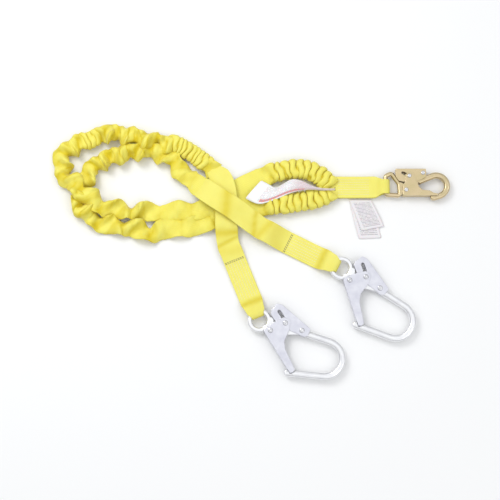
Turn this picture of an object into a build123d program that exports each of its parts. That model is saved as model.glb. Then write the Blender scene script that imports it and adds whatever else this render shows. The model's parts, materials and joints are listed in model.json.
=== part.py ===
from build123d import *
import os
from dataclasses import dataclass
from math import asin, atan2, cos, degrees, hypot, radians, sin, sqrt, tan

# Twin-leg shock absorbing lanyard, laid out on a flat floor.  Millimetres, +Z up, floor at Z = 0.
# +X runs from the webbing loops towards the harness snap hook.  The origin is on the floor, under the
# centre of the laid-out lanyard.
#
# Each hook is modelled in its own frame and then placed:  origin on the gate pivot, mid-thickness,
# +X from the webbing eye towards the bowl, +Y towards the spine and the lock lever, +Z out of the face.

# ---------------------------------------------------------------- driving dimensions: webbing
webbing_width = 44.0            # flat webbing, edge to edge
webbing_layers = 5.0            # thickness of a sewn, doubled strap
loop_wall = 2.6                 # one layer of webbing round a hook eye
loop_width = 18.0               # webbing bunched to this width inside a hook eye
loop_slack = 0.6                # radial slack between the webbing loop and the eye bar
ring_bow = 2.8                  # extra room inside a loop, because the ring's bar curves through it
harness_loop_width = 24.0       # the harness strap inside the snap hook's frame eye
strap_floor_gap = 0.6           # clearance under a strap that lies on the floor
stitch_gap = 0.05               # clearance between a strap's face and the thread on it
stitch_size = (1.6, 38.0, 0.5)  # one row of thread: along the strap, across it, raised
jacket_width = 26.0             # gathered tubular jacket, laid flat
jacket_height = 14.0
jacket_wall = 1.5
jacket_floor_z = 7.5            # centreline height of a jacket that lies on the floor
core_width, core_thickness = 17.0, 2.4
elastic_diameter = 4.5
gather_width, gather_height = 26.0, 24.0   # tightly gathered absorber length next to the harness end
gather_z = 13.6
harness_strap_thickness = 8.0
harness_floor_gap = 0.8
joint_gap = 0.8                 # gap between webbing lengths that meet end to end

# ---------------------------------------------------------------- driving dimensions: placing
snap_place = (320.8, 122.7, 10.2, 0.0)      # x, y, z of the gate pivot, then the turn about Z
hook_a_place = (201.9, -65.5, 11.8, -40.5)
hook_b_place = (41.0, -167.4, 11.8, -26.0)
strap_a_heading = -26.5         # direction in which end strap A runs towards its hook
strap_b_heading = -68.0
strap_a_length = 165.0          # from the flex line to the eye bar
strap_b_length = 150.0
strap_a_flex_z = 21.0           # height of the flex lines above the floor
strap_b_flex_z = 11.0
harness_y = 130.0               # centreline of the harness strap
harness_start_x = 160.0
stitches_a = (70.0, 77.0, 84.0, 91.0, 98.0)         # cross rows, measured from each strap's start
stitches_b = (62.8, 69.8, 76.8, 83.8, 90.8)
stitches_harness = (16.0, 24.0, 32.0, 40.0, 48.0, 56.0)
layout_shift = (-7.9, 7.5, 0.55)            # puts the origin on the floor under the laid-out lanyard


# ---------------------------------------------------------------- hook dimensions
@dataclass
class Hook:
    """One double-locking hook.  Points are (x, y) in the hook's own frame."""

    gate_outline: list          # side plate, anticlockwise from the outer corner at the pivot end
    gate_corner: float          # fillet on the gate outline
    gate_web: tuple             # two points along the gate's outer edge, pivot end first
    gate_tip_radius: float      # farthest the gate reaches from its pivot
    lever_outline: list
    lever_corner: float
    lever_web: tuple            # two points along the lever's outer edge, eye end first
    lever_wrap: float           # how far the lever's back wall reaches down from its outer edge
    lock_pin: tuple
    lever_pivot: tuple
    press: float                # lock lever travel, degrees
    swing: float                # gate travel, degrees
    spine_start: tuple          # centreline of the forged arm starts here
    bowl_centre: tuple
    bowl_radius: float          # inner radius of the bowl
    arm_width: float            # forged arm, across its width in the hook's plane
    arm_thickness: float        # and through the hook
    nose_heading: float         # direction in which the arm leaves the bowl
    nose_length: float
    boss: float                 # radius of the material round the gate pivot
    plate: float                # half thickness of the body between the lever's side plates
    sheet: float                # sheet thickness of gate and lever
    shaft: float                # rivet shaft radius
    head: float                 # rivet head radius
    spring_foot: tuple          # lever spring: on the body, and under the lever
    spring_top: tuple
    eye_radius: float           # eye bar radius


rebar_hook = Hook(
    gate_outline=[(-12, -7), (72, -60), (77, -56), (78, -49), (43, -21), (34.5, -7.6),
                  (33.3, 19.7), (27, 36), (13.2, 36), (1.3, 20.7), (-11, -2)],
    gate_corner=2.4,
    gate_web=((-12, -7), (72, -60)),
    gate_tip_radius=95.5,
    lever_outline=[(71.5, 38), (-1, 57.5), (-12, 55), (-16, 38), (-13.7, 30), (1, 21),
                   (36.5, 17), (65.5, 18), (72.5, 22)],
    lever_corner=4.0,
    lever_web=((-1, 57.5), (71.5, 38)),
    lever_wrap=12.0,
    lock_pin=(20.6, 26.5),
    lever_pivot=(57.0, 27.8),
    press=8.4,
    swing=42.0,
    spine_start=(44.0, 23.0),
    bowl_centre=(122.0, -3.0),
    bowl_radius=29.0,
    arm_width=13.5,
    arm_thickness=14.0,
    nose_heading=200.3,
    nose_length=73.0,
    boss=9.4,
    plate=4.2,
    sheet=1.8,
    shaft=3.1,
    head=5.4,
    spring_foot=(36.6, 30.6),
    spring_top=(40.5, 43.6),
    eye_radius=4.5,
)

snap_hook = Hook(
    gate_outline=[(-7.6, -12.4), (60.6, -12.4), (65.3, -11.4), (64.6, -7.8), (56, -6.4), (48.5, -1.5),
                  (33.5, 0), (26.5, 6.5), (21.8, 18.2), (16, 32), (7, 37.3), (-0.6, 33), (-1.2, 18.2),
                  (-7, 8.8)],
    gate_corner=2.0,
    gate_web=((-7.6, -12.4), (60.6, -12.4)),
    gate_tip_radius=66.5,
    lever_outline=[(41.8, 44.7), (-21.2, 44.7), (-20.5, 27), (-14.7, 19), (-5.3, 17), (24, 18.5),
                   (41.8, 27.7)],
    lever_corner=1.6,
    lever_web=((-21.2, 44.7), (41.8, 44.7)),
    lever_wrap=1.5,
    lock_pin=(7.0, 29.3),
    lever_pivot=(35.3, 35.9),
    press=8.5,
    swing=24.5,
    spine_start=(26.0, 18.0),
    bowl_centre=(62.8, 9.4),
    bowl_radius=16.0,
    arm_width=12.0,
    arm_thickness=13.0,
    nose_heading=196.0,
    nose_length=14.0,
    boss=8.8,
    plate=4.15,
    sheet=1.5,
    shaft=2.6,
    head=4.4,
    spring_foot=(13.6, 30.2),
    spring_top=(13.6, 42.2),
    eye_radius=4.5,
)

ring_centre = (-29.0, 9.0)      # rebar hooks: round webbing eye
ring_radius = 19.5              # centreline of the ring
frame_corners = [(-41.5, -9), (-41.5, 30), (-29.5, 36), (-13.5, 13), (-12.5, -11)]   # snap hook eye
frame_corner_radius = 5.0

plate_gap = 0.4                 # gap between neighbouring sheets in the hook's thickness
pin_clearance = 0.06            # radial running clearance of a rivet in a hole
slot_clearance = 0.4            # radial clearance of the lock pin in the lever's slot
nose_clearance = 0.6            # gap between the closed gate and the nose
groove_width, groove_depth = 5.0, 1.2       # forged relief along both faces of the arm


# ---------------------------------------------------------------- helpers
def polar(radius, angle):
    return (radius * cos(radians(angle)), radius * sin(radians(angle)))


def add(a, b):
    return tuple(p + q for p, q in zip(a, b))


def turned(point, centre, angle):
    """A point turned about a centre, both (x, y)."""
    dx, dy = point[0] - centre[0], point[1] - centre[1]
    return (centre[0] + dx * cos(radians(angle)) - dy * sin(radians(angle)),
            centre[1] + dx * sin(radians(angle)) + dy * cos(radians(angle)))


def heading(a, b):
    return degrees(atan2(b[1] - a[1], b[0] - a[0]))


def slab(sketch, low, high):
    """A sketch in the XY plane as a solid between two heights."""
    return extrude(Pos(0, 0, low) * sketch, amount=high - low)


def rounded(points, radius):
    face = Polygon(*points, align=None)
    return fillet(face.vertices(), radius)


def disc(centre, radius):
    return Pos(*centre) * Circle(radius)


def bar_hull(a, radius_a, b, radius_b):
    return make_hull((disc(a, radius_a) + disc(b, radius_b)).edges())


def beyond(line, distance, side):
    """A large rectangle on one side (+1 left, -1 right) of a line, starting at a distance from it."""
    reach = 400.0
    angle = heading(*line)
    shift = side * (distance + reach / 2)
    return Pos(*line[0]) * Rot(0, 0, angle) * Pos(0, shift) * Rectangle(reach, reach)


def placed(place):
    x, y, z, turn = place
    return Location((x, y, z), (0, 0, turn))


def place_of(place, point):
    """A point (x, y) of a hook's own frame, on the floor plan."""
    return add(turned(point, (0, 0), place[3]), place[:2])


# ---------------------------------------------------------------- hook parts
def sheet_levels(hook):
    """Half widths through the hook: (lever inside, lever outside, gate inside, gate outside)."""
    lever_in = hook.plate + plate_gap
    lever_out = lever_in + hook.sheet
    gate_in = lever_out + plate_gap
    return lever_in, lever_out, gate_in, gate_in + hook.sheet


def arm_path(hook):
    """Centreline of the forged arm: along the spine, round the bowl and out to the nose."""
    radius = hook.bowl_radius + hook.arm_width / 2
    start, centre = hook.spine_start, hook.bowl_centre
    dx, dy = centre[0] - start[0], centre[1] - start[1]
    reach = hypot(dx, dy)
    rise = degrees(atan2(dy, dx)) + degrees(asin(radius / reach))
    touch = add(start, polar(sqrt(reach ** 2 - radius ** 2), rise))
    leave_angle = hook.nose_heading + 90 - 360
    leave = add(centre, polar(radius, leave_angle))
    middle = add(centre, polar(radius, (rise + 90 + leave_angle) / 2))
    spine = Line(start, touch)
    bowl = ThreePointArc(touch, middle, leave)
    nose = Line(leave, add(leave, polar(hook.nose_length, hook.nose_heading)))
    return Wire([spine, bowl, nose])


def along(path, sketch):
    """A sketch swept along a path, its X level and its Y upright where the path starts."""
    tangent = path % 0
    start = Plane(origin=path @ 0, x_dir=Vector(0, 0, 1).cross(tangent), z_dir=tangent)
    return sweep(start * sketch, path=path)


def soft_path(points):
    """Straight runs joined by the widest arcs that fit, as one smooth wire."""
    points = [Vector(*p) for p in points]
    edges = []
    here = points[0]
    for before, corner, after in zip(points, points[1:], points[2:]):
        back, ahead = before - corner, after - corner
        reach = min(back.length, ahead.length) * 0.48
        back, ahead = back.normalized(), ahead.normalized()
        half = radians(back.get_angle(ahead)) / 2
        if degrees(half) > 89.5:
            continue
        middle = corner + (back + ahead).normalized() * (reach / cos(half) - reach * tan(half))
        start, end = corner + back * reach, corner + ahead * reach
        edges += [Line(here, start), ThreePointArc(start, middle, end)]
        here = end
    edges.append(Line(here, points[-1]))
    return Wire(edges)


def forged_arm(hook):
    path = arm_path(hook)
    arm = along(path, RectangleRounded(hook.arm_width, hook.arm_thickness, hook.arm_width * 0.36))
    relief = Rectangle(groove_width, 2 * groove_depth)
    for side in (1, -1):
        arm -= along(path, Pos(0, side * hook.arm_thickness / 2) * relief)
    tip = path @ 1
    nose_end = Pos(tip.X, tip.Y) * Cylinder(hook.arm_width * 0.42, hook.arm_thickness * 0.8)
    return arm + fillet(nose_end.edges().filter_by(GeomType.CIRCLE), 2.5)


def ring_eye(hook):
    size = 2 * hook.eye_radius
    bar = Plane.XZ * Pos(ring_radius, 0) * RectangleRounded(size, size, size * 0.38)
    return Pos(*ring_centre) * revolve(bar, Axis.Z)


def frame_eye(hook):
    outline = fillet(Polygon(*frame_corners, align=None).vertices(), frame_corner_radius)
    path = outline.face().outer_wire()
    start = Plane(origin=path @ 0, z_dir=path % 0)
    return sweep(start * Circle(hook.eye_radius), path=path, transition=Transition.RIGHT)


def hook_body(hook, eye, neck):
    """Forged body: arm, pivot plate and webbing eye in one piece, with rivet holes and gate seat."""
    pivot_plate = bar_hull((0, 0), hook.boss, hook.lever_pivot, hook.boss - 1.5)
    for point, radius in neck:
        pivot_plate += bar_hull((0, 0), hook.boss, point, radius)
    body = slab(pivot_plate, -hook.plate, hook.plate)
    body = fillet(body.edges().group_by(Axis.Z)[0] + body.edges().group_by(Axis.Z)[-1], 0.8)
    body += forged_arm(hook) + eye

    lever_room = disc(hook.lever_pivot, hook.boss + 30) - beyond(hook.lever_web, 0, 1)
    lever_room &= lever_sweep(hook)
    for side in (1, -1):
        body -= slab(lever_room, side * hook.plate, side * (hook.arm_thickness / 2 + 1))
    gate_seat = disc((0, 0), hook.gate_tip_radius + nose_clearance)
    gate_seat &= beyond(hook.gate_web, -nose_clearance, 1)
    gate_seat -= beyond((hook.gate_web[1], (0, 0)), hook.arm_width * 1.9, -1)
    gate_seat -= disc((0, 0), hook.gate_tip_radius * 0.6)
    body -= slab(gate_seat & nose_region(hook), -hook.arm_thickness, hook.arm_thickness)
    for centre in ((0, 0), hook.lever_pivot):
        body -= slab(disc(centre, hook.shaft + pin_clearance), -20, 20)
    return body


def nose_region(hook):
    """The part of the plan round the nose, where the closed gate rests."""
    tip = hook.gate_web[1]
    return Pos(*tip) * Circle(hook.gate_tip_radius * 0.3)


def lever_sweep(hook):
    """Plan area that the lever's side plates cover between released and pressed."""
    outline = offset(rounded(hook.lever_outline, hook.lever_corner), plate_gap)
    area = outline
    for share in (0.5, 1.0):
        turn = Pos(*hook.lever_pivot) * Rot(0, 0, hook.press * share) * Pos(-hook.lever_pivot[0],
                                                                          -hook.lever_pivot[1])
        area += turn * outline
    return area


def hook_gate(hook, relief):
    """Gate: a folded channel that straddles the body, with its web along the outer edge."""
    _, _, gate_in, gate_out = sheet_levels(hook)
    outline = rounded(hook.gate_outline, hook.gate_corner)
    gate = slab(outline, -gate_out, gate_out)
    outer = gate.edges().group_by(Axis.Z)
    gate = fillet(outer[0] + outer[-1], 0.6)
    gate -= slab(beyond(hook.gate_web, hook.sheet, 1), -gate_in, gate_in)
    gate -= slab(relief, -gate_in, gate_in)
    for centre in ((0, 0), hook.lock_pin):
        gate -= slab(disc(centre, hook.shaft + pin_clearance), -gate_out - 1, gate_out + 1)
    return gate


def lock_slot(hook):
    """Path of the lock pin as the lever sees it, while lever and gate turn together."""
    def seen(share):
        pin = turned(hook.lock_pin, (0, 0), hook.swing * share)
        return turned(pin, hook.lever_pivot, -hook.press * share)
    return SlotArc(ThreePointArc(seen(0), seen(0.5), seen(1)), 2 * (hook.shaft + slot_clearance))


def hook_lever(hook):
    """Lock lever: a folded channel over the spine, slotted for the gate's lock pin."""
    lever_in, lever_out, _, _ = sheet_levels(hook)
    outline = rounded(hook.lever_outline, hook.lever_corner)
    lever = slab(outline, -lever_out, lever_out)
    ends = lever.edges().group_by(Axis.Z)
    lever = fillet(ends[0] + ends[-1], 0.5)
    hollow = offset(outline, -hook.sheet) + beyond(hook.lever_web, hook.lever_wrap, -1)
    across = polar(1, heading(*hook.lever_web) + 90)
    front = beyond((hook.lever_pivot, add(hook.lever_pivot, across)), 0, -1)
    hollow += front & beyond(hook.lever_web, hook.sheet, -1)
    lever -= slab(hollow, -lever_in, lever_in)
    lever -= slab(lock_slot(hook), -lever_out - 1, lever_out + 1)
    lever -= slab(disc(hook.lever_pivot, hook.shaft + pin_clearance), -lever_out - 1, lever_out + 1)
    return lever


def rivet(hook, centre, grip):
    """A domed rivet whose heads sit just outside a half grip, with a set mark in each head."""
    head_height = hook.head * 0.42
    seat = grip + 0.08
    part = Cylinder(hook.shaft, 2 * seat)
    for side in (1, -1):
        head = Cylinder(hook.head, head_height)
        head = fillet(head.edges().filter_by(GeomType.CIRCLE).sort_by(Axis.Z)[-1], head_height * 0.9)
        head -= Pos(0, 0, head_height / 2) * Cone(0.3, hook.head * 0.3, head_height * 0.4)
        facing = Rot(90 - 90 * side, 0, 0)
        part += facing * Pos(0, 0, seat + head_height / 2) * head
    return Pos(*centre) * part


def coil(radius, wire, turns, pitch):
    helix = Helix(pitch=pitch, height=turns * pitch, radius=radius)
    start = Plane(origin=helix @ 0, z_dir=helix % 0)
    return sweep(start * Circle(wire / 2), path=helix, is_frenet=True)


def gate_spring(hook):
    """Torsion spring round the gate rivet, on the back face, one leg on the body and one on the gate."""
    _, _, gate_in, _ = sheet_levels(hook)
    wire = min(1.3, (gate_in - hook.plate) * 0.3)
    pitch = wire * 1.04
    radius = hook.shaft + wire * 1.2
    room = gate_in - hook.plate
    low = -hook.plate - room / 2 - pitch
    spring = Pos(0, 0, low) * coil(radius, wire, 2, pitch)
    leg_length = hook.boss * 1.05
    gate_leg = Cylinder(wire / 2, leg_length, rotation=(0, 90, 0))
    spring += Rot(0, 0, -90) * Pos(leg_length / 2, radius, low) * gate_leg
    spring += Pos(leg_length / 2, -radius, low + 2 * pitch) * gate_leg
    return spring


def lever_spring(hook):
    """Compression spring that holds the lock lever out."""
    foot, top = hook.spring_foot, hook.spring_top
    length = hypot(top[0] - foot[0], top[1] - foot[1])
    wire = 1.1
    turns = 6
    spring = coil(hook.plate - wire / 2, wire, turns, (length - wire) / turns)
    lean = heading(foot, top) - 90
    return Pos(*foot) * Rot(0, 0, lean) * Rot(-90, 0, 0) * Pos(0, 0, wire / 2) * spring


def build_hook(name, hook, place, eye, neck, relief):
    """All the separate pieces of one hook, in place, by node name."""
    _, lever_out, _, gate_out = sheet_levels(hook)
    pieces = {
        "body": hook_body(hook, eye, neck),
        "gate": hook_gate(hook, relief),
        "lock_lever": hook_lever(hook),
        "gate_rivet": rivet(hook, (0, 0), gate_out),
        "lock_pin": rivet(hook, hook.lock_pin, gate_out),
        "lever_rivet": rivet(hook, hook.lever_pivot, lever_out),
        "gate_spring": gate_spring(hook),
        "lever_spring": lever_spring(hook),
    }
    return {f"{name}_{part}": placed(place) * shape for part, shape in pieces.items()}


# ---------------------------------------------------------------- webbing
leg_b_points = [
    (25, 150, 7.5), (-8, 133.5, 7.5), (-88, 80, 7.5), (-205, 77, 7.5), (-284, 79, 9), (-322, 97, 25),
    (-364, 131, 25), (-391, 176, 10), (-350, 222, 7.5), (-275, 242, 7.5), (-148, 220, 7.5), (-84, 189, 9),
    (-68, 163, 14),
]
leg_a_points = [
    (16, 91, 7.5), (-8, 91, 7.5), (-88, 54, 7.5), (-190, 40, 7.5), (-290, 46, 7.5), (-362, 100, 7.5),
    (-336, 158, 7.5), (-262, 206, 7.5), (-186, 200, 7.5), (-134, 152, 10), (-99, 127, 25),
]
crossover_a_points = [(-99, 127, 25), (-48, 86, 32)]
crossover_b_points = [(-68, 163, 14), (-56, 143, 18.4), (-51, 58, 20.4)]
gather_b_points = [(25, 150, gather_z), (80, 178, gather_z), (128, 168, gather_z), (150, 144, gather_z)]
gather_a_points = [(16, 91, gather_z), (60, 91, gather_z), (118, 97, gather_z), (150, 116, gather_z)]
label_points = [(156, 130, 27.4), (120, 130, 26.6), (70, 125, 18), (25, 116, 19.6), (-4, 114, 22.4)]
label_width, label_thickness = 24.0, 0.8


def shortened(points, start_gap, end_gap):
    """Waypoints with each end moved in along its last span, so that neighbours keep a gap."""
    moved = [Vector(*p) for p in points]
    first = (moved[1] - moved[0]).normalized()
    last = (moved[-2] - moved[-1]).normalized()
    moved[0] += first * start_gap
    moved[-1] += last * end_gap
    return moved


def lifted(points, rise):
    return [Vector(p[0], p[1], p[2] + rise) for p in points]


def run(points, sketch):
    """A sketch swept along the soft path through the points."""
    return along(soft_path(points), sketch)


def stadium(width, height):
    return RectangleRounded(width, height, height / 2 - 0.01)


def tube(points, width, height, wall):
    """A hollow sleeve, put together from its outer skin, its inner skin and two ring-shaped ends."""
    ends = [Vector(*points[0]), Vector(*points[-1])]
    skins = []
    rims = []
    for shrink in (0, 2 * wall):
        solid = run(points, stadium(width - shrink, height - shrink)).solid()
        caps = [min(solid.faces(), key=lambda f: (f.center() - end).length) for end in ends]
        skins += [f for f in solid.faces() if f not in caps]
        rims.append([cap.outer_wire() for cap in caps])
    rings = [Face(outer, [inner]) for outer, inner in zip(*rims)]
    return Solid(Shell(skins + rings))


def leg_pieces(name, points, gather_points):
    """Jacket, energy absorbing core and elastic of one leg, then its gathered absorber length."""
    line = shortened(points, joint_gap, joint_gap)
    flat = [(p.X, p.Y, p.Z) for p in line]
    gather = shortened(gather_points, joint_gap, joint_gap)
    gather_line = [(p.X, p.Y, p.Z) for p in gather]
    return {
        f"{name}_jacket": tube(line, jacket_width, jacket_height, jacket_wall),
        f"{name}_core": run(lifted(flat, -3.0), Rectangle(core_width, core_thickness)),
        f"{name}_elastic": run(lifted(flat, 2.4), Circle(elastic_diameter / 2)),
        f"{name}_gather": tube(gather, gather_width, gather_height, jacket_wall),
        f"{name}_gather_core": run(lifted(gather_line, -4.0), Rectangle(core_width, 2 * core_thickness)),
        f"{name}_gather_elastic": run(lifted(gather_line, 4.0), Circle(elastic_diameter / 2)),
    }


def flex_point(place, eye_centre, eye_reach, strap_heading, length):
    """Floor-plan points of an end strap: (its flex line, the eye bar that it loops round)."""
    centre = place_of(place, eye_centre)
    bar = add(centre, polar(eye_reach, strap_heading + 180))
    return add(bar, polar(length, strap_heading + 180)), bar


def strap_profile(middle, thickness, bar, hole, wall):
    """Side view of a strap that ends in a loop: X along the strap, Y up, and the loop centred on the bar."""
    tail = trace(soft_path(middle).edges(), thickness)
    return tail + disc(bar, hole + wall) - disc(bar, hole)


def widened(profile, begin, length, taper, narrow):
    """A strap's side view given its width, and narrowed over its taper to fit inside an eye."""
    side_plane = Plane(origin=(0, 0, 0), x_dir=(1, 0, 0), z_dir=(0, -1, 0))
    strap = extrude(side_plane * profile, amount=webbing_width / 2, both=True)
    half = webbing_width / 2
    edge = [(begin, half), (length - taper[0], half), (length - taper[1], narrow / 2),
            (length + 20, narrow / 2)]
    plan = [(x, -y) for x, y in edge] + edge[::-1]
    return strap & slab(Polygon(*plan, align=None), -10, 80)


def end_strap(start, strap_heading, length, start_z, bar_z):
    """Doubled webbing from its flex line to a hook's ring, with a rounded edge on the flex line."""
    hole = rebar_hook.eye_radius + loop_slack + ring_bow
    reach = hole + loop_wall
    floor_z = webbing_layers / 2 + strap_floor_gap
    middle = [(0, start_z), (length * 0.06, start_z), (length * 0.3, floor_z), (length * 0.72, floor_z),
              (length - reach * 0.9, bar_z)]
    profile = strap_profile(middle, webbing_layers, (length, bar_z), hole, loop_wall)
    profile += disc((0, start_z), webbing_layers / 2)
    strap = widened(profile, -20, length, (34, 12), loop_width)
    return Location((*start, 0), (0, 0, strap_heading)) * strap


def stitch_rows(start, strap_heading, offsets, face_z):
    """Cross rows of thread on top of a strap: one raised bar for each row."""
    rows = Part()
    for distance in offsets:
        row = Box(*stitch_size, align=(Align.CENTER, Align.CENTER, Align.MIN))
        rows += Pos(distance, 0, face_z + stitch_gap) * row
    return Location((*start, 0), (0, 0, strap_heading)) * rows


def crossover(points, thickness):
    return run(shortened(points, joint_gap, 0), Rectangle(webbing_width, thickness))


def harness_strap(bar):
    """Harness-end strap: both legs are sewn into it, and it loops round the snap hook's eye bar."""
    length = bar[0] - harness_start_x
    floor_z = harness_strap_thickness / 2 + harness_floor_gap
    bar_z = snap_place[2]
    hole = snap_hook.eye_radius + loop_slack
    middle = [(0, floor_z), (length * 0.7, floor_z), (length - (hole + loop_wall) * 0.4, bar_z)]
    profile = strap_profile(middle, harness_strap_thickness, (length, bar_z), hole, loop_wall)
    strap = widened(profile, -1, length, (20, 8), harness_loop_width)
    return Pos(harness_start_x, harness_y, 0) * strap


tag_hinge_y = 107.0             # the tags are sewn along the harness strap's edge
tag_thickness = 0.6
tag_back_z, tag_front_z = 1.0, 2.4
tag_back_corners = [(203, 105.6), (218, 21), (268, 23), (248, 105.6)]
tag_front_corners = [(204, 105.6), (228, 36), (275, 46), (249, 105.6)]


def tag_page(corners, z):
    return slab(rounded(corners, 0.3), z, z + tag_thickness)


# ---------------------------------------------------------------- assembly
def leg_end(name, flex, strap_heading, length, flex_z, bar_z, waypoints, stitches):
    """Crossover, end strap and stitching of one leg; the crossover stops just short of the flex line."""
    stop = webbing_layers / 2 + 0.15
    end = add(flex, polar(stop, strap_heading + 180))
    lead = add(end, polar(20, strap_heading + 180))
    points = waypoints + [(*lead, flex_z), (*end, flex_z)]
    return {
        f"{name}_crossover": crossover(points, webbing_layers),
        f"{name}_end_strap": end_strap(flex, strap_heading, length, flex_z, bar_z),
        f"{name}_stitching": stitch_rows(flex, strap_heading, stitches, webbing_layers + strap_floor_gap),
    }


def build():
    flex_a, _ = flex_point(hook_a_place, ring_centre, ring_radius, strap_a_heading, strap_a_length)
    flex_b, _ = flex_point(hook_b_place, ring_centre, ring_radius, strap_b_heading, strap_b_length)
    snap_bar = place_of(snap_place, (frame_corners[0][0], harness_y - snap_place[1]))

    rebar_eye = ring_eye(rebar_hook)
    rebar_neck = [((-9, 19), 6.0), ((-13.5, 1.5), 4.0)]
    ring_relief = disc(ring_centre, ring_radius + rebar_hook.eye_radius + 1.2)
    snap_neck = [((-11, 12), 4.6), ((-11.5, -6), 4.0)]
    snap_relief = disc((-14, -11), 6.5)
    nodes = build_hook("snap_hook", snap_hook, snap_place, frame_eye(snap_hook), snap_neck, snap_relief)
    nodes |= build_hook("hook_a", rebar_hook, hook_a_place, rebar_eye, rebar_neck, ring_relief)
    nodes |= build_hook("hook_b", rebar_hook, hook_b_place, rebar_eye, rebar_neck, ring_relief)

    nodes |= leg_pieces("leg_a", leg_a_points, gather_a_points)
    nodes |= leg_pieces("leg_b", leg_b_points, gather_b_points)
    nodes |= leg_end("leg_a", flex_a, strap_a_heading, strap_a_length, strap_a_flex_z, hook_a_place[2],
                     crossover_a_points, stitches_a)
    nodes |= leg_end("leg_b", flex_b, strap_b_heading, strap_b_length, strap_b_flex_z, hook_b_place[2],
                     crossover_b_points, stitches_b)

    nodes["harness_strap"] = harness_strap(snap_bar)
    nodes["harness_stitching"] = stitch_rows((harness_start_x, harness_y), 0, stitches_harness,
                                             harness_strap_thickness + harness_floor_gap)
    nodes["warning_label"] = run([Vector(*p) for p in label_points], Rectangle(label_width, label_thickness))
    nodes["tag_back"] = tag_page(tag_back_corners, tag_back_z)
    nodes["tag_front"] = tag_page(tag_front_corners, tag_front_z)
    return {name: Pos(*layout_shift) * shape for name, shape in nodes.items()}


def main():
    os.makedirs("parts", exist_ok=True)
    for name, shape in build().items():
        export_step(shape, f"parts/{name}.step")


if __name__ == "__main__":
    main()
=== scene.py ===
import json
import math

import bpy
import numpy as np
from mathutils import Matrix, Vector


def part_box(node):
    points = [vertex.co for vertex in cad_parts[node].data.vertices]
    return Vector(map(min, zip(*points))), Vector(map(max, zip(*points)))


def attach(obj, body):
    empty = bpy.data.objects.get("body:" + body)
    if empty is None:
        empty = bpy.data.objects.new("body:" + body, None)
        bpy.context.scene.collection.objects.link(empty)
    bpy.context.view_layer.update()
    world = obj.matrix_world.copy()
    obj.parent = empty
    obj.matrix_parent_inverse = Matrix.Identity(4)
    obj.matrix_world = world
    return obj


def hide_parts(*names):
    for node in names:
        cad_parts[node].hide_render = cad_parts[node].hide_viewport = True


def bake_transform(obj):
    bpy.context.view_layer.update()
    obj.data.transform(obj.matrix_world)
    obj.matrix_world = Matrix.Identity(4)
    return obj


# Twin-leg shock absorbing lanyard laid out on a floor.  The soft goods are built here in millimetres
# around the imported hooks, then converted to metres.  Z is up and the floor is at Z = 0.

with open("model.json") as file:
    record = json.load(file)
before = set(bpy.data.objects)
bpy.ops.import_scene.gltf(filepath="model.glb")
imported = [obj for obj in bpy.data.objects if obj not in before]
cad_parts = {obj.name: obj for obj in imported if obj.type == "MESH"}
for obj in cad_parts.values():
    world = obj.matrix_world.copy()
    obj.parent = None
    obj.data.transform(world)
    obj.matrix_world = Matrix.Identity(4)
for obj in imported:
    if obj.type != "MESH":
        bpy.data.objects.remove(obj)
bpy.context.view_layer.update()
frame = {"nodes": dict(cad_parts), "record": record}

MM = 0.001
joints = {j["name"]: j for j in frame["record"]["behaviour"]["joints"]}


def joint_at(name):
    """A hinge's position in millimetres."""
    return np.array(joints[name]["pos_m"]) / MM


def strap_heading(name):
    """Unit vector along a strap, square to the hinge axis at its end."""
    x, y, _ = joints[name]["axis"]
    return np.array([y, -x, 0.0])


# ---------------------------------------------------------------- materials
class Nodes:
    """A short way to write a node tree: each call adds a node and returns its main output."""

    def __init__(self, material):
        material.use_nodes = True
        self.tree = material.node_tree
        self.tree.nodes.clear()
        self.out = self.tree.nodes.new("ShaderNodeOutputMaterial")
        self.bsdf = self.tree.nodes.new("ShaderNodeBsdfPrincipled")
        self.tree.links.new(self.bsdf.outputs[0], self.out.inputs[0])

    def put(self, socket, value):
        if hasattr(value, "links"):
            self.tree.links.new(value, socket)
        elif isinstance(value, (tuple, list)) and len(value) == 3 and socket.type == "RGBA":
            socket.default_value = (*value, 1.0)
        else:
            socket.default_value = value

    def add(self, kind, output=0, settings=None, **inputs):
        node = self.tree.nodes.new(kind)
        for key, value in (settings or {}).items():
            setattr(node, key, value)
        for key, value in inputs.items():
            self.put(node.inputs[key.replace("_", " ")], value)
        return node.outputs[output]

    def split(self, vector):
        """The x, y and z of a vector."""
        node = self.tree.nodes.new("ShaderNodeSeparateXYZ")
        self.tree.links.new(vector, node.inputs[0])
        return tuple(node.outputs)

    def math(self, operation, a, b=0.0, clamp=False):
        node = self.tree.nodes.new("ShaderNodeMath")
        node.operation = operation
        node.use_clamp = clamp
        self.put(node.inputs[0], a)
        self.put(node.inputs[1], b)
        return node.outputs[0]

    def mix(self, factor, a, b, blend="MIX"):
        node = self.tree.nodes.new("ShaderNodeMix")
        node.data_type = "RGBA"
        node.blend_type = blend
        self.put(node.inputs[0], factor)
        self.put(node.inputs[6], a)
        self.put(node.inputs[7], b)
        return node.outputs[2]

    def noise(self, vector, scale, detail=3.0, roughness=0.55):
        return self.add("ShaderNodeTexNoise", Vector=vector, Scale=scale, Detail=detail, Roughness=roughness)

    def ramp(self, factor, low, high):
        return self.add("ShaderNodeMapRange", Value=factor, From_Min=low, From_Max=high)

    def bump(self, height, strength, distance, normal=None):
        node = self.tree.nodes.new("ShaderNodeBump")
        node.inputs["Strength"].default_value = strength
        node.inputs["Distance"].default_value = distance
        self.put(node.inputs["Height"], height)
        if normal is not None:
            self.put(node.inputs["Normal"], normal)
        return node.outputs[0]

    def shade(self, **inputs):
        for key, value in inputs.items():
            self.put(self.bsdf.inputs[key.replace("_", " ")], value)


def new_material(name):
    material = bpy.data.materials.new(name)
    return material, Nodes(material)


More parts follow.
